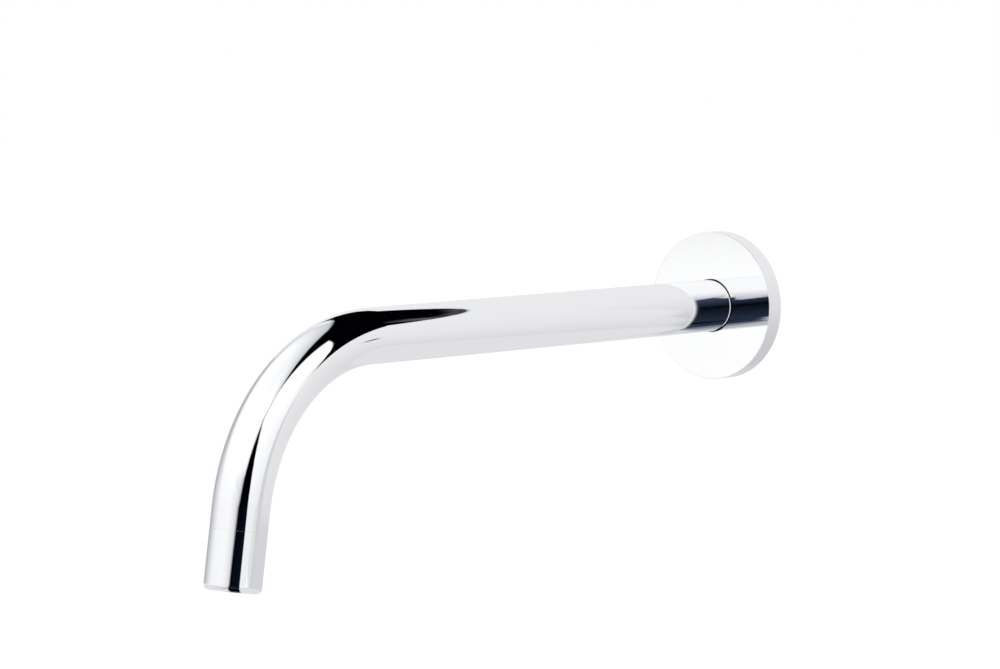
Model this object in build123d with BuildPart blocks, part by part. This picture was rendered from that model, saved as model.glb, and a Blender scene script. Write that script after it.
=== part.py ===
from build123d import *
import os
from math import cos, pi, radians, sin, sqrt

# Wall spout: a bent tube with an aerator in its mouth, a cover flange and a screw-in wall nipple.
# Millimetres. The wall is the plane Y = 0, the spout leaves it along -Y and its mouth looks down.
# The origin is where the tube's axis meets the wall.

# Tube and reach
TUBE_OD = 22.0
TUBE_WALL = 1.5
REACH = 300.0          # wall to the middle of the mouth
BEND_RADIUS = 72.5     # on the tube's centre line
BEND_ANGLE = 80.0      # degrees, so the water falls a little forward
TAIL_RUN = 8.3         # straight tube between the bend and the sleeve
SEAM_CHAMFER = 0.15    # on each side of the fine seam above the sleeve

# Outlet sleeve
SLEEVE_LENGTH = 22.8   # seam to mouth
SLEEVE_BORE = 13.5     # waterway above the aerator
MOUTH_ROUND = 2.4      # outer edge of the mouth
MOUTH_LAND = 0.35      # flat left beside that edge
SPIGOT_SHORT = 0.5     # the sleeve's spigot stops this far before the bend
LEAD_CHAMFER = 0.6     # on ends that slide into another piece

# Aerator
AERATOR_OD = 16.5
AERATOR_LENGTH = 8.5
AERATOR_INSET = 1.0    # its face lies this far inside the mouth
AERATOR_WALL = 1.2
COMB_DEPTH = 3.0
CELL_WIDTH = 1.5       # across the flats of one honeycomb cell
CELL_WEB = 0.42
LEDGE_WIDTH = 0.6      # carries the diffuser
LEDGE_DEPTH = 2.0
KEY_NOTCHES = 6
KEY_NOTCH_WIDTH = 1.6
KEY_NOTCH_DEPTH = 0.7
DIFFUSER_THICK = 1.2
DIFFUSER_HOLE = 0.9
DIFFUSER_RINGS = 2
DIFFUSER_PITCH = 2.1   # between rings, and about that along each ring
FILTER_RIM = 0.9
FILTER_SHEET = 0.5
FILTER_HOLE = 0.9      # square opening
FILTER_BAR = 0.5
SEAL_THICK = 1.5

# Cover flange
FLANGE_OD = 63.0
FLANGE_DEPTH = 8.0
FLANGE_FACE = 2.5
FLANGE_RIM = 2.0
FLANGE_EDGE = 0.3      # softened front edge
FLANGE_GAP = 0.3       # round the tube
FLANGE_BREAK = 0.25    # chamfer at the front of the bore
BOSS_WALL = 2.3        # outside the O-ring groove
BOSS_CLEAR = 0.2       # boss to the nipple's collar
GASKET_CLEAR = 0.3     # gasket to the boss or the collar

# Wall nipple, bush and set screw
THREAD_OD = 20.955     # half-inch pipe thread
THREAD_LENGTH = 15.0
THREAD_CHAMFER = 1.0
COLLAR_STEP = 1.0      # flats of the hexagon outside the tube
COLLAR_THICK = 3.0
COLLAR_BREAK = 0.4
NIPPLE_WALL = 1.3      # inside the O-ring grooves
BUSH_WALL = 2.0
SPIGOT_GAP = 0.1       # nipple spigot in the bush, all round
BUSH_SPARE = 2.0       # bush past the end of the spigot
SCREW_DIAMETER = 4.0
SCREW_LENGTH = 4.0
SCREW_HOLE_GAP = 0.2   # round the screw in the tube
SCREW_AHEAD = 6.0      # in front of the flange
SCREW_SOCKET = 2.0     # across the flats
SCREW_SOCKET_DEPTH = 1.8
SCREW_POINT = 0.4
SCREW_SINK = 0.4       # its head below the tube's surface
SCREW_TOUCH = 0.02
SCREW_GROOVE_GAP = 0.3

# O-rings
RING_SECTION = 2.0
RING_SQUEEZE = 0.15    # share of the section
RING_CORNER = 0.5      # cut off each corner of the squeezed section
RING_SIDE_GAP = 0.2
RING_PITCH = 5.0
RING_LAND = 1.6        # spigot left on each outer side of the rings

# Worked out: tube, bend and mouth
TUBE_ID = TUBE_OD - 2 * TUBE_WALL
TAIL = TAIL_RUN + SLEEVE_LENGTH
TURN = radians(BEND_ANGLE)
BEND_START = REACH - BEND_RADIUS * sin(TURN) - TAIL * cos(TURN)
MOUTH_DROP = BEND_RADIUS * (1 - cos(TURN)) + TAIL * sin(TURN)
MOUTH_WALL = (TUBE_OD - AERATOR_OD) / 2
MOUTH_EDGE = min(MOUTH_ROUND, MOUTH_WALL - MOUTH_LAND)

# Worked out: a squeezed O-ring keeps the area of its free section
RING_HEIGHT = RING_SECTION * (1 - RING_SQUEEZE)
RING_WIDTH = (pi * RING_SECTION**2 / 4 + 2 * RING_CORNER**2) / RING_HEIGHT
GROOVE_WIDTH = RING_WIDTH + 2 * RING_SIDE_GAP

# Worked out: distances in front of the wall
TUBE_END = COLLAR_THICK
BOSS_END = COLLAR_THICK + BOSS_CLEAR
FLANGE_RING_AT = (BOSS_END + FLANGE_DEPTH) / 2
SCREW_AT = FLANGE_DEPTH + SCREW_AHEAD
SCREW_GROOVE = SCREW_DIAMETER + 2 * SCREW_GROOVE_GAP
FIRST_RING_AT = SCREW_AT + SCREW_GROOVE / 2 + RING_LAND + GROOVE_WIDTH / 2
RING_PLACES = [FIRST_RING_AT, FIRST_RING_AT + RING_PITCH]
SPIGOT_END = RING_PLACES[-1] + GROOVE_WIDTH / 2 + RING_LAND
BUSH_END = SPIGOT_END + BUSH_SPARE

# Worked out: radii and widths
BUSH_BORE = TUBE_ID - 2 * BUSH_WALL
COLLAR_FLATS = TUBE_OD + 2 * COLLAR_STEP
FLANGE_BORE_R = TUBE_OD / 2 + FLANGE_GAP
FLANGE_GROOVE_R = TUBE_OD / 2 + RING_HEIGHT
BOSS_R = FLANGE_GROOVE_R + BOSS_WALL
RIM_R = FLANGE_OD / 2 - FLANGE_RIM
GASKET_R = max(BOSS_R, COLLAR_FLATS / sqrt(3)) + GASKET_CLEAR
SPIGOT_R = BUSH_BORE / 2 - SPIGOT_GAP
NIPPLE_GROOVE_R = BUSH_BORE / 2 - RING_HEIGHT
NIPPLE_BORE = 2 * (NIPPLE_GROOVE_R - NIPPLE_WALL)
SCREW_HEAD_R = TUBE_OD / 2 - SCREW_SINK
SCREW_TIP_R = SCREW_HEAD_R - SCREW_LENGTH

# Worked out: aerator, measured up from the mouth
AERATOR_TOP = AERATOR_INSET + AERATOR_LENGTH
SHOULDER = AERATOR_TOP + SEAL_THICK
CUP_R = AERATOR_OD / 2 - AERATOR_WALL
LEDGE_R = CUP_R - LEDGE_WIDTH
COMB_TOP = AERATOR_INSET + COMB_DEPTH
LEDGE_TOP = COMB_TOP + LEDGE_DEPTH
DIFFUSER_TOP = LEDGE_TOP + DIFFUSER_THICK

# Section planes have the radius across and the distance along the axis up
WALL_SECTION = Plane(origin=(0, 0, 0), x_dir=(1, 0, 0), z_dir=(0, 0, -1))
WALL_AXIS = Axis((0, 0, 0), (0, -1, 0))
MOUTH = Plane(
    origin=(0, -REACH, -MOUTH_DROP),
    x_dir=(1, 0, 0),
    z_dir=(0, cos(TURN), sin(TURN)),
)
MOUTH_SECTION = Plane(origin=MOUTH.origin, x_dir=MOUTH.x_dir, z_dir=-MOUTH.y_dir)
MOUTH_AXIS = Axis(MOUTH.origin, MOUTH.z_dir)
SCREW_PLANE = Plane(origin=(0, -SCREW_AT, 0), x_dir=(1, 0, 0), z_dir=(0, 0, -1))


def band(inner, outer, start, end, mode=Mode.ADD):
    """One rectangle of a half section, between two radii and two distances along the axis."""
    with Locations(((inner + outer) / 2, (start + end) / 2)):
        Rectangle(outer - inner, end - start, mode=mode)


def squeezed_ring(inner, places):
    """Half sections of O-rings that are squeezed flat, seated on a cylinder of radius inner."""
    with Locations([(inner + RING_HEIGHT / 2, place) for place in places]):
        section = Rectangle(RING_HEIGHT, RING_WIDTH)
    chamfer(section.vertices(), RING_CORNER)


def within(locations, limit):
    """The places of a flat pattern whose centres lie within a radius."""
    return [spot for spot in locations if spot.position.length <= limit]


def save(builder, name):
    """Label a finished piece and write it."""
    builder.part.label = name
    export_step(builder.part, f"parts/{name}.step")


os.makedirs("parts", exist_ok=True)

# Bent tube, with a clear hole under it for the set screw
with BuildPart() as spout_tube:
    with BuildLine(Plane.YZ) as centre_line:
        level = Line((-TUBE_END, 0), (-BEND_START, 0))
        bend = JernArc(level @ 1, level % 1, BEND_RADIUS, BEND_ANGLE)
        PolarLine(bend @ 1, TAIL_RUN, direction=bend % 1)
    with BuildSketch(Plane(origin=level @ 0, x_dir=(1, 0, 0), z_dir=level % 0)):
        Circle(TUBE_OD / 2)
        Circle(TUBE_ID / 2, mode=Mode.SUBTRACT)
    sweep(path=centre_line.wire())
    seam_face = spout_tube.faces().sort_by(MOUTH_AXIS)[0]
    chamfer(seam_face.edges().sort_by(SortBy.RADIUS)[-1], SEAM_CHAMFER)
    with Locations(SCREW_PLANE.offset(TUBE_OD / 2)):
        Hole(SCREW_DIAMETER / 2 + SCREW_HOLE_GAP, depth=TUBE_OD / 2)
save(spout_tube, "spout_tube")

# Outlet sleeve: spigot in the tube, waterway, shoulder and aerator seat
with BuildPart() as outlet_sleeve:
    with BuildSketch(MOUTH_SECTION):
        band(SLEEVE_BORE / 2, TUBE_ID / 2, SLEEVE_LENGTH, SLEEVE_LENGTH + TAIL_RUN - SPIGOT_SHORT)
        band(SLEEVE_BORE / 2, TUBE_OD / 2, 0, SLEEVE_LENGTH)
        band(0, AERATOR_OD / 2, 0, SHOULDER, Mode.SUBTRACT)
    revolve(axis=MOUTH_AXIS)
    rings = outlet_sleeve.edges().filter_by(GeomType.CIRCLE).group_by(MOUTH_AXIS)
    fillet(rings[0].sort_by(SortBy.RADIUS)[-1], MOUTH_EDGE)
    chamfer(rings[-1].sort_by(SortBy.RADIUS)[-1], LEAD_CHAMFER)
    chamfer(rings[-2].sort_by(SortBy.RADIUS)[-1], SEAM_CHAMFER)
save(outlet_sleeve, "outlet_sleeve")

# Aerator body: honeycomb mouth, cup with a ledge, notches for the key
with BuildPart() as aerator_body:
    with BuildSketch(MOUTH_SECTION):
        band(0, AERATOR_OD / 2, AERATOR_INSET, AERATOR_TOP)
        band(0, LEDGE_R, COMB_TOP, LEDGE_TOP, Mode.SUBTRACT)
        band(0, CUP_R, LEDGE_TOP, AERATOR_TOP, Mode.SUBTRACT)
    revolve(axis=MOUTH_AXIS)
    cell_count = 2 * int(LEDGE_R / CELL_WIDTH) + 1
    cells = HexLocations((CELL_WIDTH + CELL_WEB) / 2, cell_count, cell_count)
    with BuildSketch(MOUTH.offset(AERATOR_INSET)):
        with Locations(within(cells.local_locations, LEDGE_R - CELL_WIDTH / sqrt(3))):
            RegularPolygon(CELL_WIDTH / 2, 6, major_radius=False)
    extrude(amount=COMB_DEPTH, mode=Mode.SUBTRACT)
    with BuildSketch(MOUTH.offset(AERATOR_INSET)):
        with PolarLocations(AERATOR_OD / 2, KEY_NOTCHES):
            Rectangle(2 * KEY_NOTCH_DEPTH, KEY_NOTCH_WIDTH)
    extrude(amount=KEY_NOTCH_DEPTH, mode=Mode.SUBTRACT)
save(aerator_body, "aerator_body")

# Diffuser: a plate on the ledge with rings of small holes
with BuildPart() as aerator_diffuser:
    with BuildSketch(MOUTH.offset(LEDGE_TOP)):
        Circle(CUP_R)
        for ring in range(1, DIFFUSER_RINGS + 1):
            with PolarLocations(ring * DIFFUSER_PITCH, int(2 * pi * ring)):
                Circle(DIFFUSER_HOLE / 2, mode=Mode.SUBTRACT)
    extrude(amount=DIFFUSER_THICK)
save(aerator_diffuser, "aerator_diffuser")

# Filter: a rim that stands on the diffuser under a sheet of square openings
with BuildPart() as aerator_filter:
    with BuildSketch(MOUTH_SECTION):
        band(CUP_R - FILTER_RIM, CUP_R, DIFFUSER_TOP, AERATOR_TOP)
        band(0, CUP_R, AERATOR_TOP - FILTER_SHEET, AERATOR_TOP)
    revolve(axis=MOUTH_AXIS)
    hole_pitch = FILTER_HOLE + FILTER_BAR
    hole_count = 2 * int(CUP_R / hole_pitch) + 1
    holes = GridLocations(hole_pitch, hole_pitch, hole_count, hole_count)
    with BuildSketch(MOUTH.offset(AERATOR_TOP)):
        with Locations(within(holes.local_locations, CUP_R - FILTER_RIM - FILTER_HOLE / sqrt(2))):
            Rectangle(FILTER_HOLE, FILTER_HOLE)
    extrude(amount=-FILTER_SHEET, mode=Mode.SUBTRACT)
save(aerator_filter, "aerator_filter")

# Seal: flat washer between the aerator and the sleeve's shoulder
with BuildPart() as aerator_seal:
    with BuildSketch(MOUTH.offset(AERATOR_TOP)):
        Circle(AERATOR_OD / 2)
        Circle(SLEEVE_BORE / 2, mode=Mode.SUBTRACT)
    extrude(amount=SEAL_THICK)
save(aerator_seal, "aerator_seal")

# Cover flange: flat face, rim to the wall and a bored boss with an O-ring groove
with BuildPart() as wall_flange:
    with BuildSketch(WALL_SECTION):
        band(RIM_R, FLANGE_OD / 2, 0, FLANGE_DEPTH)
        band(FLANGE_BORE_R, RIM_R, FLANGE_DEPTH - FLANGE_FACE, FLANGE_DEPTH)
        band(FLANGE_BORE_R, BOSS_R, BOSS_END, FLANGE_DEPTH)
        with Locations((FLANGE_BORE_R, FLANGE_RING_AT)):
            Rectangle(2 * (FLANGE_GROOVE_R - FLANGE_BORE_R), GROOVE_WIDTH, mode=Mode.SUBTRACT)
    revolve(axis=WALL_AXIS)
    front_rings = wall_flange.faces().sort_by(WALL_AXIS)[-1].edges().sort_by(SortBy.RADIUS)
    fillet(front_rings[-1], FLANGE_EDGE)
    chamfer(front_rings[0], FLANGE_BREAK)
save(wall_flange, "wall_flange")

# O-ring between the flange and the tube
with BuildPart() as flange_o_ring:
    with BuildSketch(WALL_SECTION):
        squeezed_ring(TUBE_OD / 2, [FLANGE_RING_AT])
    revolve(axis=WALL_AXIS)
save(flange_o_ring, "flange_o_ring")

# Soft gasket that fills the flange from its face to the wall
with BuildPart() as wall_gasket:
    with BuildSketch(WALL_SECTION):
        band(GASKET_R, RIM_R, 0, FLANGE_DEPTH - FLANGE_FACE)
    revolve(axis=WALL_AXIS)
save(wall_gasket, "wall_gasket")

# Bush in the wall end of the tube, tapped for the set screw
with BuildPart() as inlet_bush:
    with BuildSketch(WALL_SECTION):
        band(BUSH_BORE / 2, TUBE_ID / 2, TUBE_END, BUSH_END)
    revolve(axis=WALL_AXIS)
    end_rings = inlet_bush.edges().filter_by(GeomType.CIRCLE).group_by(WALL_AXIS)
    chamfer(end_rings[0].sort_by(SortBy.RADIUS)[0], LEAD_CHAMFER)
    chamfer(end_rings[-1].sort_by(SortBy.RADIUS)[-1], LEAD_CHAMFER)
    with Locations(SCREW_PLANE.offset(TUBE_ID / 2)):
        Hole(SCREW_DIAMETER / 2, depth=TUBE_ID / 2)
save(inlet_bush, "inlet_bush")

# Wall nipple: threaded end, hexagon collar, spigot with a screw groove and two O-ring grooves
with BuildPart() as inlet_nipple:
    with BuildSketch(WALL_SECTION):
        band(0, THREAD_OD / 2, -THREAD_LENGTH, 0)
        band(0, SPIGOT_R, 0, SPIGOT_END)
        band(SCREW_TIP_R - SCREW_TOUCH, SPIGOT_R, SCREW_AT - SCREW_GROOVE / 2,
             SCREW_AT + SCREW_GROOVE / 2, Mode.SUBTRACT)
        for place in RING_PLACES:
            band(NIPPLE_GROOVE_R, SPIGOT_R, place - GROOVE_WIDTH / 2, place + GROOVE_WIDTH / 2, Mode.SUBTRACT)
        band(0, NIPPLE_BORE / 2, -THREAD_LENGTH, SPIGOT_END, Mode.SUBTRACT)
    revolve(axis=WALL_AXIS)
    nipple_rings = inlet_nipple.edges().filter_by(GeomType.CIRCLE).group_by(WALL_AXIS)
    chamfer(nipple_rings[0].sort_by(SortBy.RADIUS)[-1], THREAD_CHAMFER)
    chamfer(nipple_rings[-1].sort_by(SortBy.RADIUS)[-1], LEAD_CHAMFER)
    with BuildSketch(Plane(origin=(0, 0, 0), x_dir=(1, 0, 0), z_dir=(0, -1, 0))):
        RegularPolygon(COLLAR_FLATS / 2, 6, major_radius=False)
        Circle(NIPPLE_BORE / 2, mode=Mode.SUBTRACT)
    extrude(amount=COLLAR_THICK)
    collar_edges = inlet_nipple.edges().filter_by(GeomType.LINE).filter_by(Plane.XZ)
    chamfer(collar_edges, COLLAR_BREAK)
save(inlet_nipple, "inlet_nipple")

# Two O-rings on the spigot
with BuildPart() as nipple_o_rings:
    with BuildSketch(WALL_SECTION):
        squeezed_ring(NIPPLE_GROOVE_R, RING_PLACES)
    revolve(axis=WALL_AXIS)
save(nipple_o_rings, "nipple_o_rings")

# Socket set screw under the tube
with BuildPart() as set_screw:
    with BuildSketch(SCREW_PLANE.offset(SCREW_TIP_R)):
        Circle(SCREW_DIAMETER / 2)
    extrude(amount=SCREW_LENGTH)
    chamfer(set_screw.edges().sort_by(Axis.Z)[-1], SCREW_POINT)
    with BuildSketch(SCREW_PLANE.offset(SCREW_HEAD_R)):
        RegularPolygon(SCREW_SOCKET / 2, 6, major_radius=False)
    extrude(amount=-SCREW_SOCKET_DEPTH, mode=Mode.SUBTRACT)
save(set_screw, "set_screw")
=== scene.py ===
import math

import bmesh
import bpy
from mathutils import Matrix, Vector


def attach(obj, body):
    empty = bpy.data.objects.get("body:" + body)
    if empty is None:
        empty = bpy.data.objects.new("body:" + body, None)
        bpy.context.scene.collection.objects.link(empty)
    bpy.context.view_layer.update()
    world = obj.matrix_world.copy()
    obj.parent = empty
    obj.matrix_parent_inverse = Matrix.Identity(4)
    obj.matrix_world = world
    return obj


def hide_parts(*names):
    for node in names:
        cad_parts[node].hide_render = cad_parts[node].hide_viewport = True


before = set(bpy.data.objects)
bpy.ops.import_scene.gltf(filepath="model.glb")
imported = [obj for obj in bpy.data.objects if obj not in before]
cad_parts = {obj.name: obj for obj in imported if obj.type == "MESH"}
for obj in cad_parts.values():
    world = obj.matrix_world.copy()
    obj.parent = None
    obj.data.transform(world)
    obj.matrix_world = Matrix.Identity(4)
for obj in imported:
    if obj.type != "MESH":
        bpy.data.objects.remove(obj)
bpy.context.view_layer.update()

# Looks of the wall spout: materials, studio and camera. Metres, in the frame of the part:
# the wall is the plane Y = 0, the spout leaves it along -Y and its mouth looks down.

# Sizes of the part, as in its source
TURN = math.radians(80.0)
BEND_RADIUS = 0.0725
TAIL = 0.0311
REACH = 0.300
BEND_START = REACH - BEND_RADIUS * math.sin(TURN) - TAIL * math.cos(TURN)
BEND_CENTRE = (0.0, -BEND_START, -BEND_RADIUS)
MOUTH_DROP = BEND_RADIUS * (1 - math.cos(TURN)) + TAIL * math.sin(TURN)
MOUTH_CENTRE = (0.0, -REACH, -MOUTH_DROP)
MOUTH_AXIS = (0.0, math.cos(TURN), math.sin(TURN))
WALL_CENTRE = (0.0, 0.0, 0.0)
WALL_AXIS = (0.0, 1.0, 0.0)

# A point of the tube is on a round wall if the cosine between its normal and the radius is above this
SMOOTH_COSINE = 0.9

# Wall nipple: a half-inch pipe thread behind the wall, a hexagon collar and a grooved spigot
THREAD_RADIUS = 0.0104775
THREAD_LENGTH = 0.015
THREAD_PITCH = 0.001814
THREAD_DEPTH = 0.001162
THREAD_FLAT = 0.12        # share of the pitch that the crest and the root are cut off
THREAD_FADE = 0.002       # run-out at the collar
THREAD_CHAMFER = 0.001
THREAD_ROWS = 16          # rings of points in one pitch
RING_POINTS = 96
HEXAGON_STEP = math.radians(60.0)
COLLAR_FLAT = 0.012
COLLAR_THICK = 0.003
COLLAR_BREAK = 0.0004
SPIGOT_RADIUS = 0.0074
SPIGOT_END = 0.027042
SPIGOT_LEAD = 0.0006
BORE_RADIUS = 0.0045
# Grooves of the spigot: start and end in front of the wall, and the radius of the floor
GROOVES = ((0.0117, 0.0163, 0.00658), (0.0179, 0.020442, 0.0058), (0.0229, 0.025442, 0.0058))
GROOVE_BREAK = 0.00015
SHARP_ANGLE = math.radians(40.0)

# Finishes. A grain is its scale per metre, its detail and, where it is drawn out, the share of the scale
# along each axis. The tones are the two that a grain blends. A roughness is its lowest and its highest
# value, and a relief is its strength and its depth.
CHROME_CLOUD = (60, 4)
CHROME_TONES = ((0.925, 0.93, 0.94), (0.945, 0.95, 0.955))
CHROME_HAIRLINES = (900, 3, (1, 0.06, 1))
CHROME_ROUGHNESS = (0.012, 0.035)
BRASS_STAIN = (220, 5)
BRASS_TONES = ((0.60, 0.43, 0.19), (0.78, 0.60, 0.32))
BRASS_RINGS = (4000, 3)
BRASS_ROUGHNESS = (0.16, 0.42)
BRASS_RELIEF = (0.5, 0.00001)
STEEL_STAIN = (500, 4)
STEEL_TONES = ((0.41, 0.41, 0.42), (0.50, 0.50, 0.51))
STEEL_MARKS = (3000, 3, (1, 1, 0.1))
STEEL_ROUGHNESS = (0.20, 0.40)
STEEL_RELIEF = (0.3, 0.00001)
RUBBER_BLOOM = (350, 5)
RUBBER_TONES = ((0.020, 0.020, 0.021), (0.042, 0.042, 0.043))
RUBBER_GRAIN = (5000, 3)
RUBBER_ROUGHNESS = (0.48, 0.70)
RUBBER_RELIEF = (0.4, 0.00002)
FOAM_CELLS = 1600         # cells per metre
# Tones of the foam: its own dark grey at a cell's rim, and darker towards the cell's hollow centre as
# painted shade
FOAM_TONES_SHADED_TO_CELL_CENTRE = ((0.045, 0.045, 0.048), (0.125, 0.125, 0.130))
FOAM_GRAIN = (900, 4)
FOAM_ROUGHNESS = (0.80, 0.98)
FOAM_RELIEF = (0.8, 0.00015)
PLASTIC_FLOW = (180, 5, (1, 1, 0.4))
PLASTIC_GRAIN = (6000, 3)
PLASTIC_ROUGHNESS = (0.34, 0.50)
PLASTIC_RELIEF = (0.3, 0.00001)
GREY_PLASTIC_TONES = ((0.39, 0.41, 0.43), (0.45, 0.47, 0.49))
WHITE_PLASTIC_TONES = ((0.74, 0.75, 0.74), (0.81, 0.82, 0.81))

# Camera: its angles in degrees, its lens and its sensor in millimetres
CAMERA_PLACE = (0.99637, -1.30373, 0.10136)
CAMERA_AZIMUTH = 40.713
CAMERA_ELEVATION = 3.948
CAMERA_ROLL = -0.717
CAMERA_LENS = 137.9
CAMERA_SENSOR = 36.0

# Studio: a white floor under a white light tent with two dark openings. The tent and its cards
# stand for the room that polished metal shows, and only reflections see them.
FLOOR_HEIGHT = -0.6
FLOOR_SIZE = 60.0
FLOOR_WHITE = 0.85
FLOOR_LIFT = 0.20
TENT_RADIUS = 25.0
TENT_SEGMENTS = 64
TENT_RINGS = 32
# Brightness of the tent by the sine of the height it is seen at, from the floor to straight above
TENT_STEPS = (
    (0.00, (0.91, 0.91, 0.93)),
    (0.07, (0.95, 0.95, 0.96)),
    (0.17, (1.00, 1.00, 1.01)),
    (0.42, (1.07, 1.07, 1.07)),
    (0.90, (1.07, 1.07, 1.07)),
    (1.00, (0.98, 0.99, 1.00)),
)

# Tones of the cards
DARK = (0.0003, 0.0004, 0.0012)
NAVY = (0.020, 0.030, 0.060)
DUSK = (0.050, 0.062, 0.095)
DIM = (0.055, 0.055, 0.065)
GLOW = (0.100, 0.100, 0.100)
STRIP_DARK = (0.15, 0.16, 0.20)
STRIP_DIM = (0.33, 0.34, 0.38)
STRIP_MID = (0.46, 0.47, 0.51)
STRIP_PALE = (0.56, 0.57, 0.61)
SLATE = (0.47, 0.48, 0.51)
DIM_EDGE = (0.47, 0.48, 0.52)
PALE_EDGE = (0.93, 0.94, 0.97)
FRINGE = (0.54, 0.56, 0.60)
SOFT_FRINGE = (0.70, 0.70, 0.73)
GROUND = (0.79, 0.79, 0.81)
FAR_GROUND = (0.88, 0.88, 0.89)
HAZE = (0.95, 0.95, 0.95)
PALE = (0.895, 0.895, 0.910)
LOW_PALE = (0.74, 0.74, 0.75)
LOW_SHADE = (0.60, 0.60, 0.62)
SHADE = (0.655, 0.66, 0.68)
LIGHT_SHADE = (0.70, 0.70, 0.72)
HIGH_SHADE = (0.77, 0.77, 0.79)

# Planes of the cards: the centre, and the directions to the right and up
FRONT_AXES = ((0.669, 0.743, 0.0), (-0.065, 0.058, 0.996))
FRONT_TOP_AXES = ((0.669, 0.743, 0.0), (-0.636, 0.573, 0.517))
REAR_AXES = ((-1.0, 0.0, 0.0), (0.0, -0.643, 0.766))
FROM_WALL_AXES = ((1.0, 0.0, 0.0), (0.0, 0.0, 1.0))
TO_WALL_AXES = ((-1.0, 0.0, 0.0), (0.0, 0.0, 1.0))
LEVEL_AXES = ((1.0, 0.0, 0.0), (0.0, 1.0, 0.0))
FRONT_PLANE = ((0.381, -0.543, 0.0248), *FRONT_AXES)
BEHIND_FRONT_PLANE = ((0.385, -0.547, 0.0248), *FRONT_AXES)
FRONT_TOP_PLANE = ((0.3687, -0.5437, 0.1244), *FRONT_TOP_AXES)
GLOW_PLANE = ((0.0, 0.027, 0.1705), *REAR_AXES)
REAR_PLANE = ((0.0, 0.029, 0.172), *REAR_AXES)
FRINGE_PLANE = ((0.0, 0.031, 0.1735), *REAR_AXES)
PANEL_PLANE = ((0.0, 0.033, 0.175), *REAR_AXES)
SIDE_PLANE = ((0.70, 0.2515, 0.0), (-0.622, 0.783, 0.0), (0.0, 0.0, 1.0))
LEFT_PLANE = ((-0.591, -0.186, -0.03), (-0.174, -0.985, 0.0), (0.0, 0.0, 1.0))
SEAM_PLANE = ((0.278, -0.361, 0.363), (0.5, 0.866, 0.0), (-0.663, 0.383, 0.643))
MOUTH_PLANE = ((-0.0127, -0.2873, -0.0905), (0.708, 0.706, 0.0), (0.0, 0.0, 1.0))
LEG_PLANE = ((0.0, -0.16, -0.1), *FROM_WALL_AXES)
WALL_PLANE = ((0.0, 0.10, 0.0), *FROM_WALL_AXES)
BAND_END_PLANE = ((0.0, -0.088, 0.0), *TO_WALL_AXES)
BAND_PLANE = ((0.0, -0.089, 0.0), *TO_WALL_AXES)
BAND_EDGE_PLANE = ((0.0, -0.090, 0.0), *TO_WALL_AXES)
FAR_FLOOR_PLANE = ((0.0, 0.0, -0.598), *LEVEL_AXES)
NEAR_FLOOR_PLANE = ((0.0, 0.0, -0.596), *LEVEL_AXES)
STRIP_END_PLANE = ((0.0, 0.0, -0.595), *LEVEL_AXES)
STRIP_PLANE = ((0.0, 0.0, -0.594), *LEVEL_AXES)
FOOT_PLANE = ((0.0, 0.0, -0.593), *LEVEL_AXES)

# The dark band beside the flange ends at a circle round the tube
BAND_END_RADIUS = 0.0918
BAND_END_OUTSIDE = 0.140
BAND_END_START = math.radians(135.0)
BAND_END_STOP = math.radians(275.0)
BAND_END_STEPS = 14
BAND_END_MARGIN = 0.001

# Across its margin a card's cover falls to nothing by this power
FADE_POWER = 2
# Sides that a card is seen from, as whether it is one-sided
BOTH = False
FRONT = True


def even(inner, outer, tone, *places):
    """Corners of a card that has the same margins and the same tone all round."""
    return tuple((place, inner, outer, tone) for place in places)


def band_end():
    """Corners of the band's end, a part of a ring that goes from pale to the ground's tone."""
    arc = []
    for i in range(BAND_END_STEPS + 1):
        share = i / BAND_END_STEPS
        angle = BAND_END_START + (BAND_END_STOP - BAND_END_START) * share
        tone = tuple(a + (b - a) * share for a, b in zip(PALE_EDGE, GROUND))
        arc.append((math.cos(angle), math.sin(angle), tone))
    corners = []
    for radius, points in ((BAND_END_OUTSIDE, arc), (BAND_END_RADIUS, reversed(arc))):
        for x, y, tone in points:
            corners.append(((radius * x, radius * y), BAND_END_MARGIN, BAND_END_MARGIN, tone))
    return corners


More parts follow.
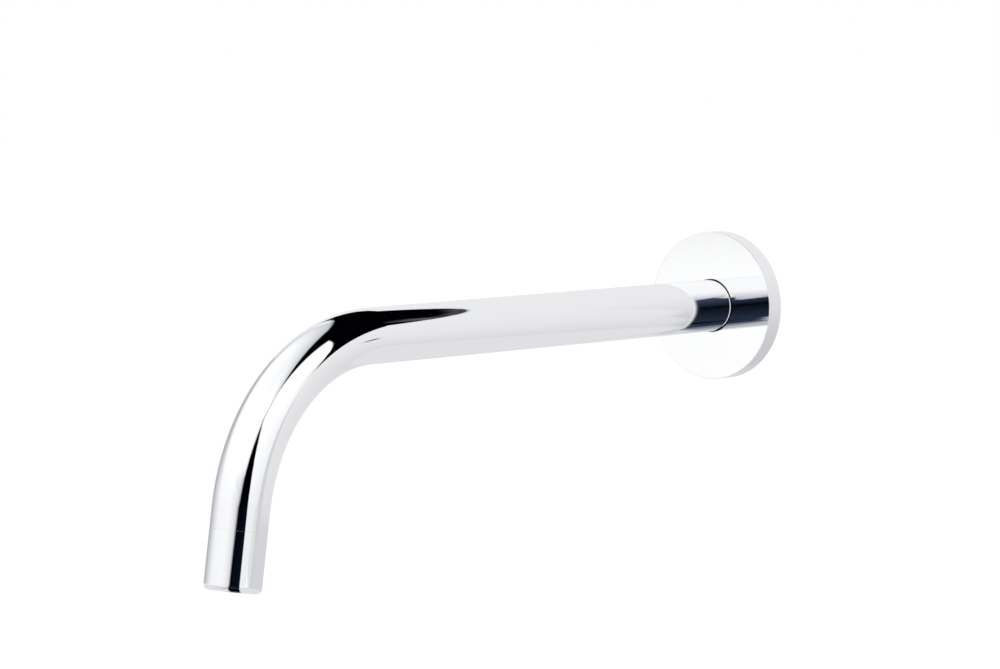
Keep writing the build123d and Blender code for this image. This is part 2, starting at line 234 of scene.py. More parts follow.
# A card is its name, its plane, the sides that it is seen from and its corners. A corner is its place on the
# plane, how far the soft margin of the edge to the next corner reaches in and out, and its tone.
CARDS = (
    # Greyer ground under the spout and on the wall's side, and a haze far in front
    ("near_ground", NEAR_FLOOR_PLANE, BOTH, even(
        0.50, 0.50, GROUND, (-3.0, -3.0), (3.0, -3.0), (3.0, 3.0), (-3.0, 3.0),
    )),
    ("rear_ground", FAR_FLOOR_PLANE, BOTH, (
        ((-25.0, 2.0), 0.20, 0.20, GROUND),
        ((25.0, 2.0), 0.20, 0.20, GROUND),
        ((25.0, 20.0), 0.20, 0.20, FAR_GROUND),
        ((-25.0, 20.0), 0.20, 0.20, FAR_GROUND),
    )),
    ("front_haze", FAR_FLOOR_PLANE, BOTH, (
        ((-22.5, -20.0), 0.10, 0.10, HAZE),
        ((0.0, -20.0), 0.10, 0.10, HAZE),
        ((-2.5, -13.3), 1.80, 1.80, HAZE),
        ((-22.5, -1.3), 0.10, 0.10, HAZE),
    )),
    # Pale panel on the wall's side, below the rear opening and behind its edge
    ("back_panel", PANEL_PLANE, BOTH, (
        ((-0.640, 0.000), 0.003, 0.003, PALE),
        ((-0.300, 0.060), 0.003, 0.003, PALE),
        ((0.330, 0.070), 0.006, 0.006, PALE),
        ((0.900, 0.120), 0.060, 0.060, PALE),
        ((0.900, -0.900), 0.060, 0.060, LOW_PALE),
        ((-0.900, -0.900), 0.060, 0.060, LOW_PALE),
    )),
    # Grey panel to the right of it
    ("side_panel", SIDE_PLANE, BOTH, (
        ((-0.365, -0.360), 0.003, 0.003, SHADE),
        ((-0.236, -0.114), 0.003, 0.003, SHADE),
        ((-0.179, 0.000), 0.003, 0.003, SHADE),
        ((-0.085, 0.143), 0.020, 0.020, LIGHT_SHADE),
        ((0.250, 0.120), 0.060, 0.060, LIGHT_SHADE),
        ((0.250, -0.360), 0.030, 0.030, LIGHT_SHADE),
    )),
    # Shade close behind the leg and close behind the flange
    ("leg_shade", LEG_PLANE, FRONT, (
        ((-0.060, -0.060), 0.010, 0.010, SHADE),
        ((0.150, -0.060), 0.010, 0.010, SHADE),
        ((0.150, 0.020), 0.010, 0.010, LIGHT_SHADE),
        ((-0.060, 0.020), 0.010, 0.010, LIGHT_SHADE),
    )),
    ("flange_shade", WALL_PLANE, BOTH, (
        ((0.140, 0.040), 0.010, 0.004, HIGH_SHADE),
        ((0.120, -0.060), 0.010, 0.004, SHADE),
        ((0.050, -0.120), 0.010, 0.004, LOW_SHADE),
        ((-0.050, -0.125), 0.010, 0.004, LOW_SHADE),
        ((-0.090, -0.090), 0.030, 0.100, SHADE),
    )),
    # Rear opening, above the wall, with the dim cloth at its upper edge, a small slit below it and the faint
    # light at its lower edge
    ("rear_fringe", FRINGE_PLANE, BOTH, (
        ((-0.210, 0.217), 0.005, 0.005, FRINGE),
        ((-0.552, 0.794), 0.005, 0.300, FRINGE),
        ((0.006, 0.240), 0.005, 0.300, FRINGE),
        ((0.120, 0.170), 0.005, 0.030, FRINGE),
    )),
    ("rear_opening", REAR_PLANE, BOTH, (
        ((-0.547, -0.065), 0.005, 0.005, DARK),
        ((-0.210, 0.217), 0.014, 0.020, DARK),
        ((-0.552, 0.794), 0.012, 0.020, DARK),
        ((0.006, 0.240), 0.010, 0.014, DARK),
        ((0.320, 0.060), 0.003, 0.003, DARK),
    )),
    ("rear_slit", REAR_PLANE, BOTH, even(
        0.002, 0.004, NAVY,
        (-0.4005, -0.245), (-0.4165, -0.288), (-0.4215, -0.262), (-0.4175, -0.242),
    )),
    ("rear_glow", GLOW_PLANE, BOTH, (
        ((-0.137, -0.006), 0.001, 0.001, GLOW),
        ((-0.104, -0.001), 0.006, 0.010, GLOW),
        ((-0.104, 0.020), 0.006, 0.010, GLOW),
        ((-0.137, 0.020), 0.006, 0.010, GLOW),
    )),
    ("rear_tip", GLOW_PLANE, BOTH, (
        ((-0.090, 0.001), 0.001, 0.001, DIM),
        ((-0.005, 0.0132), 0.001, 0.001, DIM),
        ((-0.005, 0.021), 0.001, 0.006, DIM),
        ((-0.090, 0.009), 0.001, 0.010, DIM),
    )),
    # Dimmer side of the tent at the left
    ("left_side", LEFT_PLANE, BOTH, (
        ((-0.250, 0.350), 0.010, 0.250, SLATE),
        ((0.020, 0.220), 0.010, 0.800, SLATE),
        ((0.020, -0.100), 0.010, 0.100, SLATE),
        ((-0.120, -0.100), 0.010, 0.150, SLATE),
    )),
    # Seam between the two openings
    ("roof_seam", SEAM_PLANE, BOTH, even(
        0.003, 0.012, DARK,
        (0.000, 0.030), (-0.055, -0.040), (-0.114, -0.090),
        (-0.122, -0.140), (-0.104, -0.085), (-0.043, -0.032),
    )),
    # Front opening, on the camera's side, with the soft cloth round it
    ("front_fringe", BEHIND_FRONT_PLANE, BOTH, (
        ((-0.098, 0.100), 0.004, 0.450, SOFT_FRINGE),
        ((-0.135, 0.010), 0.004, 0.450, SOFT_FRINGE),
        ((-0.195, -0.040), 0.004, 0.450, SOFT_FRINGE),
        ((-0.330, -0.575), 0.001, 0.001, SOFT_FRINGE),
        ((0.050, -0.575), 0.004, 0.004, SOFT_FRINGE),
        ((0.050, 0.100), 0.004, 0.100, SOFT_FRINGE),
    )),
    ("front_top", FRONT_TOP_PLANE, BOTH, (
        ((-0.0152, 0.1809), 0.004, 0.050, DARK),
        ((-0.0930, -0.010), 0.001, 0.001, DARK),
        ((0.0930, -0.010), 0.004, 0.020, DARK),
    )),
    ("front_opening", FRONT_PLANE, BOTH, (
        ((-0.098, 0.100), 0.004, 0.085, DARK),
        ((-0.135, 0.010), 0.004, 0.085, DARK),
        ((-0.195, -0.040), 0.004, 0.085, DARK),
        ((-0.340, -0.620), 0.001, 0.001, NAVY),
        ((0.085, -0.620), 0.006, 0.030, NAVY),
        ((0.109, 0.020), 0.006, 0.030, DARK),
        ((0.081, 0.100), 0.001, 0.001, DARK),
    )),
    # Foot of the same opening as the rounded edge of the mouth shows it
    ("mouth_stripe", MOUTH_PLANE, FRONT, even(
        0.0005, 0.0005, DARK, (-0.0070, -0.043), (0.0058, -0.043), (0.0012, 0.003), (-0.0027, 0.003),
    )),
    # Top and end of the same opening as the flange and the end of the tube show it to each other
    ("band_edge_right", BAND_EDGE_PLANE, FRONT, (
        ((-0.0330, 0.0350), 0.001, 0.015, PALE_EDGE),
        ((-0.0480, 0.0580), 0.001, 0.001, PALE_EDGE),
        ((-0.0690, 0.0220), 0.001, 0.001, DIM_EDGE),
        ((-0.0450, 0.0165), 0.001, 0.001, DIM_EDGE),
    )),
    ("band_edge_left", BAND_EDGE_PLANE, FRONT, (
        ((-0.0440, 0.0600), 0.001, 0.030, PALE_EDGE),
        ((-0.0600, 0.0760), 0.001, 0.001, PALE_EDGE),
        ((-0.0850, 0.0480), 0.001, 0.001, DIM_EDGE),
        ((-0.0630, 0.0430), 0.001, 0.001, DIM_EDGE),
    )),
    ("band_top", BAND_PLANE, FRONT, (
        ((-0.0450, 0.0180), 0.002, 0.004, NAVY),
        ((-0.0640, 0.0200), 0.002, 0.004, NAVY),
        ((-0.0650, 0.0495), 0.002, 0.004, DUSK),
        ((-0.0900, 0.0505), 0.002, 0.004, DUSK),
        ((-0.1150, 0.0400), 0.001, 0.001, DARK),
        ((-0.1150, -0.0050), 0.001, 0.001, DARK),
        ((-0.0450, -0.0050), 0.001, 0.001, DARK),
    )),
    ("band_end", BAND_END_PLANE, FRONT, band_end()),
    # Dark ground at the foot of the front opening, and a dark strip that pales towards the left
    ("front_ground", FOOT_PLANE, BOTH, (
        ((-0.226, -0.158), 0.010, 0.030, DARK),
        ((0.190, -0.835), 0.010, 0.020, DARK),
        ((0.530, -0.530), 0.010, 0.020, DARK),
        ((-0.175, -0.115), 0.010, 0.020, DARK),
    )),
    ("ground_strip", STRIP_PLANE, BOTH, (
        ((0.450, -0.900), 0.003, 0.020, NAVY),
        ((0.300, -0.805), 0.003, 0.020, NAVY),
        ((0.160, -0.750), 0.003, 0.020, NAVY),
        ((0.030, -0.727), 0.003, 0.020, NAVY),
        ((-0.030, -0.728), 0.003, 0.040, NAVY),
        ((-0.030, -0.812), 0.003, 0.020, NAVY),
        ((0.030, -0.812), 0.003, 0.020, NAVY),
        ((0.160, -0.840), 0.003, 0.020, NAVY),
        ((0.300, -0.905), 0.003, 0.020, NAVY),
        ((0.440, -1.000), 0.003, 0.020, NAVY),
    )),
    ("ground_strip_end", STRIP_END_PLANE, BOTH, (
        ((0.000, -0.727), 0.003, 0.020, NAVY),
        ((-0.130, -0.742), 0.003, 0.020, STRIP_DARK),
        ((-0.220, -0.785), 0.003, 0.020, STRIP_DIM),
        ((-0.350, -0.865), 0.003, 0.020, STRIP_MID),
        ((-0.600, -1.060), 0.003, 0.150, STRIP_PALE),
        ((-0.620, -1.200), 0.003, 0.020, STRIP_PALE),
        ((-0.360, -0.965), 0.003, 0.020, STRIP_PALE),
        ((-0.220, -0.890), 0.003, 0.020, STRIP_PALE),
        ((-0.130, -0.845), 0.003, 0.020, STRIP_MID),
        ((0.000, -0.815), 0.003, 0.020, STRIP_DARK),
    )),
)


# Helpers

def new_object(name, points, faces):
    """A mesh object, from its points and faces."""
    mesh = bpy.data.meshes.new(name)
    mesh.from_pydata(points, [], faces)
    thing = bpy.data.objects.new(name, mesh)
    bpy.context.scene.collection.objects.link(thing)
    return thing


def bare_material(name):
    """A material with only its output, its tree of nodes and the socket for its surface."""
    material = bpy.data.materials.new(name)
    material.use_nodes = True
    tree = material.node_tree
    tree.nodes.clear()
    output = tree.nodes.new("ShaderNodeOutputMaterial")
    return material, tree, output.inputs["Surface"]


def new_material(name):
    """A material with its tree of nodes and its Principled shader."""
    material, tree, surface = bare_material(name)
    shader = tree.nodes.new("ShaderNodeBsdfPrincipled")
    tree.links.new(shader.outputs["BSDF"], surface)
    return material, tree, shader


def feed(tree, socket, value):
    """Links an output to a socket, or sets the socket's own value."""
    if isinstance(value, bpy.types.NodeSocket):
        tree.links.new(value, socket)
    else:
        socket.default_value = value


def number(tree, operation, *values):
    """A step of arithmetic on numbers."""
    node = tree.nodes.new("ShaderNodeMath")
    node.operation = operation
    for socket, value in zip(node.inputs, values):
        feed(tree, socket, value)
    return node.outputs["Value"]


def vector(tree, operation, *values):
    """A step of arithmetic on vectors."""
    node = tree.nodes.new("ShaderNodeVectorMath")
    node.operation = operation
    for socket, value in zip(node.inputs, values):
        feed(tree, socket, value)
    return node.outputs["Value" if operation in ("DOT_PRODUCT", "LENGTH") else "Vector"]


def scaled(tree, arrow, length):
    """A vector times a number."""
    node = tree.nodes.new("ShaderNodeVectorMath")
    node.operation = "SCALE"
    feed(tree, node.inputs["Vector"], arrow)
    feed(tree, node.inputs["Scale"], length)
    return node.outputs["Vector"]


def own_place(tree):
    """The coordinates of the object that is shaded, in metres."""
    return tree.nodes.new("ShaderNodeTexCoord").outputs["Object"]


# Materials of the part

def stretched(tree, place, stretch):
    """Coordinates with a scale per axis."""
    shape = tree.nodes.new("ShaderNodeMapping")
    shape.inputs["Scale"].default_value = stretch
    tree.links.new(place, shape.inputs["Vector"])
    return shape.outputs["Vector"]


def noise_over(tree, place, scale, detail):
    """The grey of a noise over coordinates."""
    texture = tree.nodes.new("ShaderNodeTexNoise")
    texture.inputs["Scale"].default_value = scale
    texture.inputs["Detail"].default_value = detail
    tree.links.new(place, texture.inputs["Vector"])
    return texture.outputs["Fac"]


def noise(tree, scale, detail, stretch=(1, 1, 1)):
    """Noise over the part's own coordinates, with a scale per axis."""
    return noise_over(tree, stretched(tree, own_place(tree), stretch), scale, detail)


def turned(tree, scale, detail):
    """Fine rings round the part's own Y axis, as a lathe leaves them."""
    place = own_place(tree)
    split = tree.nodes.new("ShaderNodeSeparateXYZ")
    tree.links.new(place, split.inputs["Vector"])
    join = tree.nodes.new("ShaderNodeCombineXYZ")
    tree.links.new(vector(tree, "LENGTH", stretched(tree, place, (1, 0, 1))), join.inputs["X"])
    tree.links.new(split.outputs["Y"], join.inputs["Y"])
    return noise_over(tree, join.outputs["Vector"], scale, detail)


def tint(tree, grey, tones, shader):
    """Colours a shader with a blend of two tones."""
    ramp = tree.nodes.new("ShaderNodeValToRGB")
    for element, tone in zip(ramp.color_ramp.elements, tones):
        element.color = (*tone, 1)
    tree.links.new(grey, ramp.inputs["Fac"])
    tree.links.new(ramp.outputs["Color"], shader.inputs["Base Color"])


def roughen(tree, grey, limits, shader):
    """Spreads a shader's roughness between two limits."""
    low, high = limits
    ramp = tree.nodes.new("ShaderNodeMapRange")
    ramp.inputs["To Min"].default_value = low
    ramp.inputs["To Max"].default_value = high
    tree.links.new(grey, ramp.inputs["Value"])
    tree.links.new(ramp.outputs["Result"], shader.inputs["Roughness"])


def emboss(tree, grey, relief, shader):
    """Gives a shader a bump, by its strength and its depth in metres."""
    strength, depth = relief
    bump = tree.nodes.new("ShaderNodeBump")
    bump.inputs["Strength"].default_value = strength
    bump.inputs["Distance"].default_value = depth
    tree.links.new(grey, bump.inputs["Height"])
    tree.links.new(bump.outputs["Normal"], shader.inputs["Normal"])


def chrome():
    """Bright polished chrome plate with a trace of cloudiness in the polish."""
    material, tree, shader = new_material("polished_chrome")
    shader.inputs["Metallic"].default_value = 1
    tint(tree, noise(tree, *CHROME_CLOUD), CHROME_TONES, shader)
    roughen(tree, noise(tree, *CHROME_HAIRLINES), CHROME_ROUGHNESS, shader)
    return material


def brass():
    """Turned brass with lathe marks and a little tarnish."""
    material, tree, shader = new_material("turned_brass")
    shader.inputs["Metallic"].default_value = 1
    tint(tree, noise(tree, *BRASS_STAIN), BRASS_TONES, shader)
    rings = turned(tree, *BRASS_RINGS)
    roughen(tree, rings, BRASS_ROUGHNESS, shader)
    emboss(tree, rings, BRASS_RELIEF, shader)
    return material


def steel():
    """Plain stainless steel, a little brushed."""
    material, tree, shader = new_material("plain_steel")
    shader.inputs["Metallic"].default_value = 1
    tint(tree, noise(tree, *STEEL_STAIN), STEEL_TONES, shader)
    marks = noise(tree, *STEEL_MARKS)
    roughen(tree, marks, STEEL_ROUGHNESS, shader)
    emboss(tree, marks, STEEL_RELIEF, shader)
    return material


def rubber():
    """Black sealing rubber with the dull bloom of a moulded ring."""
    material, tree, shader = new_material("sealing_rubber")
    tint(tree, noise(tree, *RUBBER_BLOOM), RUBBER_TONES, shader)
    grain = noise(tree, *RUBBER_GRAIN)
    roughen(tree, grain, RUBBER_ROUGHNESS, shader)
    emboss(tree, grain, RUBBER_RELIEF, shader)
    return material


def foam():
    """Closed-cell foam rubber with its cut cells, each darkened towards its hollow centre with painted
    shade.
    """
    material, tree, shader = new_material("cell_foam")
    cells = tree.nodes.new("ShaderNodeTexVoronoi")
    cells.inputs["Scale"].default_value = FOAM_CELLS
    tree.links.new(own_place(tree), cells.inputs["Vector"])
    # Painted shade: the tones follow the distance to each cell's centre and are darkest there, where the
    # relief sinks into a hollow
    tint(tree, cells.outputs["Distance"], FOAM_TONES_SHADED_TO_CELL_CENTRE, shader)
    roughen(tree, noise(tree, *FOAM_GRAIN), FOAM_ROUGHNESS, shader)
    emboss(tree, cells.outputs["Distance"], FOAM_RELIEF, shader)
    return material


def moulded(name, tones):
    """Moulded plastic: an even colour with faint flow marks and a fine spark-eroded grain."""
    material, tree, shader = new_material(name)
    tint(tree, noise(tree, *PLASTIC_FLOW), tones, shader)
    grain = noise(tree, *PLASTIC_GRAIN)
    roughen(tree, grain, PLASTIC_ROUGHNESS, shader)
    emboss(tree, grain, PLASTIC_RELIEF, shader)
    return material


def dress():
    """Gives each CAD node its material."""
    finishes = (
        (chrome(), ("spout_tube", "outlet_sleeve", "wall_flange")),
        (brass(), ("inlet_bush", "inlet_nipple")),
        (steel(), ("set_screw",)),
        (rubber(), ("aerator_seal", "flange_o_ring", "nipple_o_rings")),
        (foam(), ("wall_gasket",)),
        (moulded("grey_plastic_moulded", GREY_PLASTIC_TONES), ("aerator_body",)),
        (moulded("white_plastic_moulded", WHITE_PLASTIC_TONES), ("aerator_diffuser", "aerator_filter")),
    )
    for material, names in finishes:
        for name in names:
            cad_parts[name].material_slots[0].material = material


# Exact normals of the polished pieces

def normal_tree(name):
    """A tree of nodes that gives a mesh new normals: the tree, the position and the normal of a point,
    and the socket for its new normal."""
    tree = bpy.data.node_groups.new(name, "GeometryNodeTree")
    tree.interface.new_socket("Geometry", in_out="INPUT", socket_type="NodeSocketGeometry")
    tree.interface.new_socket("Geometry", in_out="OUTPUT", socket_type="NodeSocketGeometry")
    start = tree.nodes.new("NodeGroupInput")
    end = tree.nodes.new("NodeGroupOutput")
    setter = tree.nodes.new("GeometryNodeSetMeshNormal")
    setter.mode = "FREE"
    setter.domain = "POINT"
    tree.links.new(start.outputs["Geometry"], setter.inputs["Mesh"])
    tree.links.new(setter.outputs["Mesh"], end.inputs["Geometry"])
    place = tree.nodes.new("GeometryNodeInputPosition").outputs["Position"]
    normal = tree.nodes.new("GeometryNodeInputNormal").outputs["Normal"]
    return tree, place, normal, setter.inputs["Custom Normal"]


def outwards(tree, from_axis, axis):
    """The direction from an axis to a point, square to the axis."""
    along = vector(tree, "DOT_PRODUCT", from_axis, axis)
    return vector(tree, "NORMALIZE", vector(tree, "SUBTRACT", from_axis, scaled(tree, axis, along)))


def turned_normals(name, centre, axis):
    """Normals of a turned piece: each lies in the plane through the axis, also along the seam of
    the mesh."""
    tree, place, normal, result = normal_tree(name)
    radius = outwards(tree, vector(tree, "SUBTRACT", place, centre), axis)
    along = scaled(tree, axis, vector(tree, "DOT_PRODUCT", normal, axis))
    across = scaled(tree, radius, vector(tree, "DOT_PRODUCT", normal, radius))
    tree.links.new(vector(tree, "NORMALIZE", vector(tree, "ADD", along, across)), result)
    return tree


def tube_normals(name):
    """Normals of the bent tube: each round wall's point away from or towards the centre line, so that
    what the polish shows runs on without a step from the straight into the bend."""
    tree, place, normal, result = normal_tree(name)
    spoke = vector(tree, "SUBTRACT", place, BEND_CENTRE)
    split = tree.nodes.new("ShaderNodeSeparateXYZ")
    tree.links.new(spoke, split.inputs["Vector"])
    forward = number(tree, "MULTIPLY", split.outputs["Y"], -1.0)
    angle = number(tree, "ARCTAN2", forward, split.outputs["Z"])
    angle = number(tree, "MINIMUM", number(tree, "MAXIMUM", angle, 0.0), TURN)
    sine = number(tree, "MULTIPLY", number(tree, "SINE", angle), -1.0)
    cosine = number(tree, "COSINE", angle)
    to_line = tree.nodes.new("ShaderNodeCombineXYZ")
    tree.links.new(sine, to_line.inputs["Y"])
    tree.links.new(cosine, to_line.inputs["Z"])
    tangent = tree.nodes.new("ShaderNodeCombineXYZ")
    tree.links.new(number(tree, "MULTIPLY", cosine, -1.0), tangent.inputs["Y"])
    tree.links.new(sine, tangent.inputs["Z"])
    from_line = vector(tree, "SUBTRACT", spoke, scaled(tree, to_line.outputs["Vector"], BEND_RADIUS))
    radius = outwards(tree, from_line, tangent.outputs["Vector"])
    across = vector(tree, "DOT_PRODUCT", normal, radius)
    rounded = scaled(tree, radius, number(tree, "SIGN", across))
    is_wall = number(tree, "GREATER_THAN", number(tree, "ABSOLUTE", across), SMOOTH_COSINE)
    change = scaled(tree, vector(tree, "SUBTRACT", rounded, normal), is_wall)
    tree.links.new(vector(tree, "ADD", normal, change), result)
    return tree


def polish(name, tree):
    """Shows a CAD node with the normals of a tree of nodes."""
    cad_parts[name].modifiers.new("normals", "NODES").node_group = tree


# Wall nipple

def thread_radius(depth, angle):
    """Radius of the pipe thread at a depth in the wall, a right-hand helix that runs out at the collar."""
    turn = depth / THREAD_PITCH + angle / math.tau
    wave = abs(2 * (turn % 1) - 1)
    tooth = min(1.0, max(0.0, (wave - THREAD_FLAT) / (1 - 2 * THREAD_FLAT)))
    fade = min(1.0, depth / THREAD_FADE)
    chamfer = max(0.0, depth - (THREAD_LENGTH - THREAD_CHAMFER))
    return min(THREAD_RADIUS - THREAD_DEPTH * (1 - tooth) * fade, THREAD_RADIUS - chamfer)


def hexagon_radius(flat, angle):
    """Radius of a hexagon with two corners on the X axis."""
    return flat / math.cos(angle % HEXAGON_STEP - HEXAGON_STEP / 2)


def nipple_rings():
    """Rings of the wall nipple as (distance in front of the wall, radius at an angle): out of the bore
    in the wall, along the outside and back to the bore."""
    rings = [(-THREAD_LENGTH, lambda angle: BORE_RADIUS)]
    rows = round(THREAD_LENGTH / THREAD_PITCH * THREAD_ROWS)
    for row in range(rows + 1):
        depth = THREAD_LENGTH * (1 - row / rows)
        rings.append((-depth, lambda angle, depth=depth: thread_radius(depth, angle)))
    collar = (
        (0.0, COLLAR_FLAT - COLLAR_BREAK),
        (COLLAR_BREAK, COLLAR_FLAT),
        (COLLAR_THICK - COLLAR_BREAK, COLLAR_FLAT),
        (COLLAR_THICK, COLLAR_FLAT - COLLAR_BREAK),
    )
    for place, flat in collar:
        rings.append((place, lambda angle, flat=flat: hexagon_radius(flat, angle)))
    round_rows = [(COLLAR_THICK, SPIGOT_RADIUS)]
    for start, end, floor in GROOVES:
        round_rows += [
            (start - GROOVE_BREAK, SPIGOT_RADIUS),
            (start, SPIGOT_RADIUS - GROOVE_BREAK),
            (start, floor),
            (end, floor),
            (end, SPIGOT_RADIUS - GROOVE_BREAK),
            (end + GROOVE_BREAK, SPIGOT_RADIUS),
        ]
    round_rows += [
        (SPIGOT_END - SPIGOT_LEAD, SPIGOT_RADIUS),
        (SPIGOT_END, SPIGOT_RADIUS - SPIGOT_LEAD),
        (SPIGOT_END, BORE_RADIUS),
    ]
    for place, radius in round_rows:
        rings.append((place, lambda angle, radius=radius: radius))
    return rings


def make_nipple():
    """The wall nipple with its pipe thread cut, as one closed mesh."""
    rings = nipple_rings()
    angles = [math.tau * i / RING_POINTS for i in range(RING_POINTS)]
    points = []
    for place, radius in rings:
        for angle in angles:
            r = radius(angle)
            points.append((r * math.cos(angle), -place, r * math.sin(angle)))
    faces = []
    for i in range(len(rings)):
        for j in range(RING_POINTS):
            a = i * RING_POINTS
            b = (i + 1) % len(rings) * RING_POINTS
            k = (j + 1) % RING_POINTS
            faces.append((a + j, a + k, b + k, b + j))
    piece = new_object("threaded_nipple", points, faces)
    shape = bmesh.new()
    shape.from_mesh(piece.data)
    bmesh.ops.recalc_face_normals(shape, faces=shape.faces)
    shape.to_mesh(piece.data)
    shape.free()
    piece.data.shade_smooth()
    piece.data.set_sharp_from_angle(angle=SHARP_ANGLE)
    piece.data.materials.append(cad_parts["inlet_nipple"].material_slots[0].material)
    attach(piece, "root")
    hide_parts("inlet_nipple")


# Studio

def only_reflected(thing):
    """A thing of the studio that polished surfaces show and the camera doesn't see."""
    thing.visible_camera = False
    thing.visible_diffuse = False
    thing.visible_transmission = False
    thing.visible_shadow = False


def blend(tree, amount, first, second, target):
    """Mixes two shaders, by the amount of the second, and gives the mix to a socket."""
    mix = tree.nodes.new("ShaderNodeMixShader")
    tree.links.new(amount, mix.inputs["Fac"])
    tree.links.new(first, mix.inputs[1])
    tree.links.new(second, mix.inputs[2])
    tree.links.new(mix.outputs["Shader"], target)


def offset(flat, margins):
    """The corners of a flat outline with each edge moved outwards by its own margin."""
    count = len(flat)
    area = sum(flat[i - 1].cross(flat[i]) for i in range(count))
    turn = 1 if area > 0 else -1
    lines = []
    for i in range(count):
        along = (flat[(i + 1) % count] - flat[i]).normalized()
        outward = Vector((along.y, -along.x)) * turn
        lines.append((flat[i] + outward * margins[i], along))
    points = []
    for i in range(count):
        (p, a), (q, b) = lines[i - 1], lines[i]
        points.append(p + a * ((q - p).cross(b) / a.cross(b)))
    return points


def card_material(name, one_sided):
    """Light in the card's own tones, clear where its cover ends and, on a one-sided card, from behind."""
    material, tree, surface = bare_material(name)
    cover = tree.nodes.new("ShaderNodeAttribute")
    cover.attribute_name = "cover"
    tone = tree.nodes.new("ShaderNodeAttribute")
    tone.attribute_name = "tone"
    amount = number(tree, "POWER", cover.outputs["Fac"], FADE_POWER)
    if one_sided:
        behind = tree.nodes.new("ShaderNodeNewGeometry").outputs["Backfacing"]
        amount = number(tree, "MAXIMUM", number(tree, "SUBTRACT", amount, behind), 0.0)
    clear = tree.nodes.new("ShaderNodeBsdfTransparent")
    glow = tree.nodes.new("ShaderNodeEmission")
    tree.links.new(tone.outputs["Color"], glow.inputs["Color"])
    blend(tree, amount, clear.outputs["BSDF"], glow.outputs["Emission"], surface)
    material.cycles.emission_sampling = "NONE"
    return material


def make_card(name, plane, one_sided, corners):
    """A flat card of the studio with a soft margin along each edge."""
    centre, right, up = (Vector(v) for v in plane)
    places, inner, outer, tones = zip(*corners)
    flat = [Vector(p) for p in places]
    count = len(flat)
    rims = offset(flat, [-m for m in inner]) + offset(flat, outer)
    points = [centre + right * p.x + up * p.y for p in rims]
    faces = [tuple(range(count))]
    for i in range(count):
        j = (i + 1) % count
        faces.append((i, i + count, j + count, j))
    card = new_object(name, points, faces)
    cover = card.data.attributes.new("cover", "FLOAT", "POINT")
    cover.data.foreach_set("value", [1.0] * count + [0.0] * count)
    tone = card.data.attributes.new("tone", "FLOAT_COLOR", "POINT")
    tone.data.foreach_set("color", [c for t in tones * 2 for c in (*t, 1)])
    card.data.materials.append(card_material(name, one_sided))
    only_reflected(card)


def tent_material():
    """Light that is brighter at the sides than near the floor and the top."""
    material, tree, surface = bare_material("tent")
    split = tree.nodes.new("ShaderNodeSeparateXYZ")
    tree.links.new(own_place(tree), split.inputs["Vector"])
    level = tree.nodes.new("ShaderNodeMapRange")
    level.inputs["From Max"].default_value = TENT_RADIUS
    tree.links.new(split.outputs["Z"], level.inputs["Value"])
    ramp = tree.nodes.new("ShaderNodeValToRGB")
    steps = ramp.color_ramp.elements
    while len(steps) < len(TENT_STEPS):
        steps.new(1.0)
    for step, (height, colour) in zip(steps, TENT_STEPS):
        step.position = height
        step.color = (*colour, 1)
    tree.links.new(level.outputs["Result"], ramp.inputs["Fac"])
    glow = tree.nodes.new("ShaderNodeEmission")
    tree.links.new(ramp.outputs["Color"], glow.inputs["Color"])
    tree.links.new(glow.outputs["Emission"], surface)
    material.cycles.emission_sampling = "NONE"
    return material


def make_tent():
    """The tent as a ball round the object, of which the floor hides the lower half."""
    tent = new_object("tent", [], [])
    shell = bmesh.new()
    bmesh.ops.create_uvsphere(shell, u_segments=TENT_SEGMENTS, v_segments=TENT_RINGS, radius=TENT_RADIUS)
    shell.to_mesh(tent.data)
    shell.free()
    tent.data.materials.append(tent_material())
    only_reflected(tent)


def make_world():
    """Plain white all round."""
    world = bpy.data.worlds.new("white")
    bpy.context.scene.world = world
    world.use_nodes = True
    back = world.node_tree.nodes["Background"]
    back.inputs["Color"].default_value = (1, 1, 1, 1)
    back.inputs["Strength"].default_value = 1


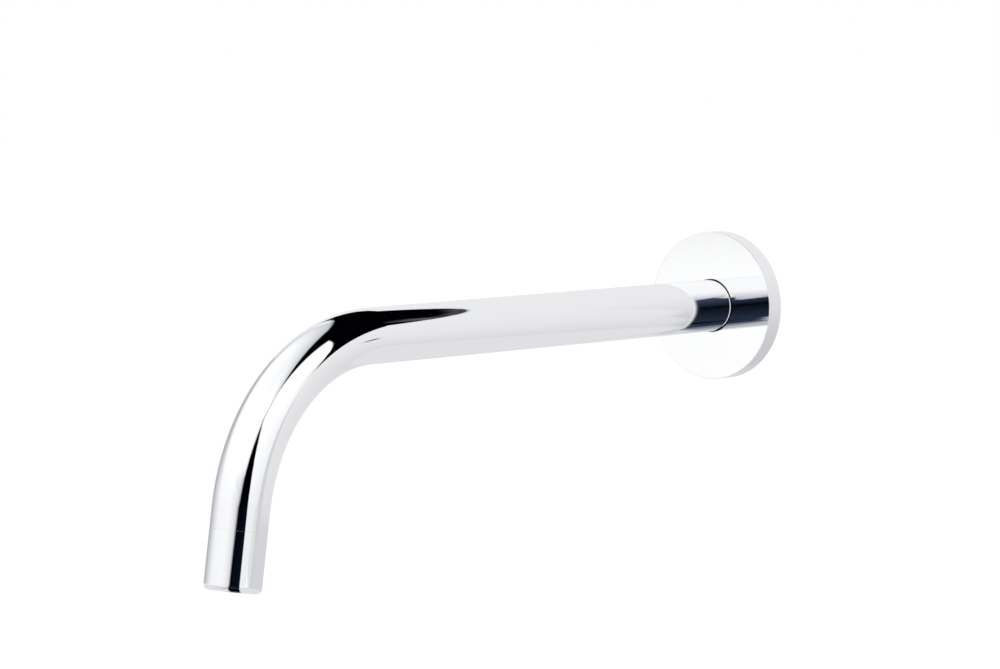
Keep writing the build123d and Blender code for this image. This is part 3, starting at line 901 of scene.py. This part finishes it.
def floor_material():
    """Matt pale paint, lifted to white where it is seen, that is clear from below."""
    material, tree, surface = bare_material("floor")
    matt = tree.nodes.new("ShaderNodeBsdfDiffuse")
    matt.inputs["Color"].default_value = (FLOOR_WHITE, FLOOR_WHITE, FLOOR_WHITE, 1)
    path = tree.nodes.new("ShaderNodeLightPath")
    seen = number(tree, "MAXIMUM", path.outputs["Is Camera Ray"], path.outputs["Is Glossy Ray"])
    seen = number(tree, "MAXIMUM", seen, path.outputs["Is Transmission Ray"])
    glow = tree.nodes.new("ShaderNodeEmission")
    tree.links.new(number(tree, "MULTIPLY", seen, FLOOR_LIFT), glow.inputs["Strength"])
    total = tree.nodes.new("ShaderNodeAddShader")
    tree.links.new(matt.outputs["BSDF"], total.inputs[0])
    tree.links.new(glow.outputs["Emission"], total.inputs[1])
    below = tree.nodes.new("ShaderNodeNewGeometry").outputs["Backfacing"]
    clear = tree.nodes.new("ShaderNodeBsdfTransparent")
    blend(tree, below, total.outputs["Shader"], clear.outputs["BSDF"], surface)
    return material


def make_floor():
    """A plain pale floor well below the spout, with the object's shadow."""
    half = FLOOR_SIZE / 2
    corners = [(-half, -half), (half, -half), (half, half), (-half, half)]
    floor = new_object("floor", [(x, y, FLOOR_HEIGHT) for x, y in corners], [(0, 1, 2, 3)])
    floor.data.materials.append(floor_material())


def make_camera():
    """The photograph's viewing angle."""
    turn, lift, roll = (math.radians(a) for a in (CAMERA_AZIMUTH, CAMERA_ELEVATION, CAMERA_ROLL))
    back = Vector((math.sin(turn) * math.cos(lift), -math.cos(turn) * math.cos(lift), math.sin(lift)))
    right = Vector((math.cos(turn), math.sin(turn), 0))
    up = back.cross(right)
    tilted_right = right * math.cos(roll) + up * math.sin(roll)
    tilted_up = up * math.cos(roll) - right * math.sin(roll)
    data = bpy.data.cameras.new("camera")
    data.lens = CAMERA_LENS
    data.sensor_width = CAMERA_SENSOR
    camera = bpy.data.objects.new("camera", data)
    axes = Matrix((tilted_right, tilted_up, back)).transposed()
    camera.matrix_world = Matrix.Translation(CAMERA_PLACE) @ axes.to_4x4()
    bpy.context.scene.collection.objects.link(camera)
    bpy.context.scene.camera = camera


dress()
polish("spout_tube", tube_normals("tube_normals"))
polish("outlet_sleeve", turned_normals("sleeve_normals", MOUTH_CENTRE, MOUTH_AXIS))
polish("wall_flange", turned_normals("flange_normals", WALL_CENTRE, WALL_AXIS))
make_nipple()

bpy.context.scene.view_settings.view_transform = "Standard"
make_world()
make_floor()
make_camera()
make_tent()
for values in CARDS:
    make_card(*values)
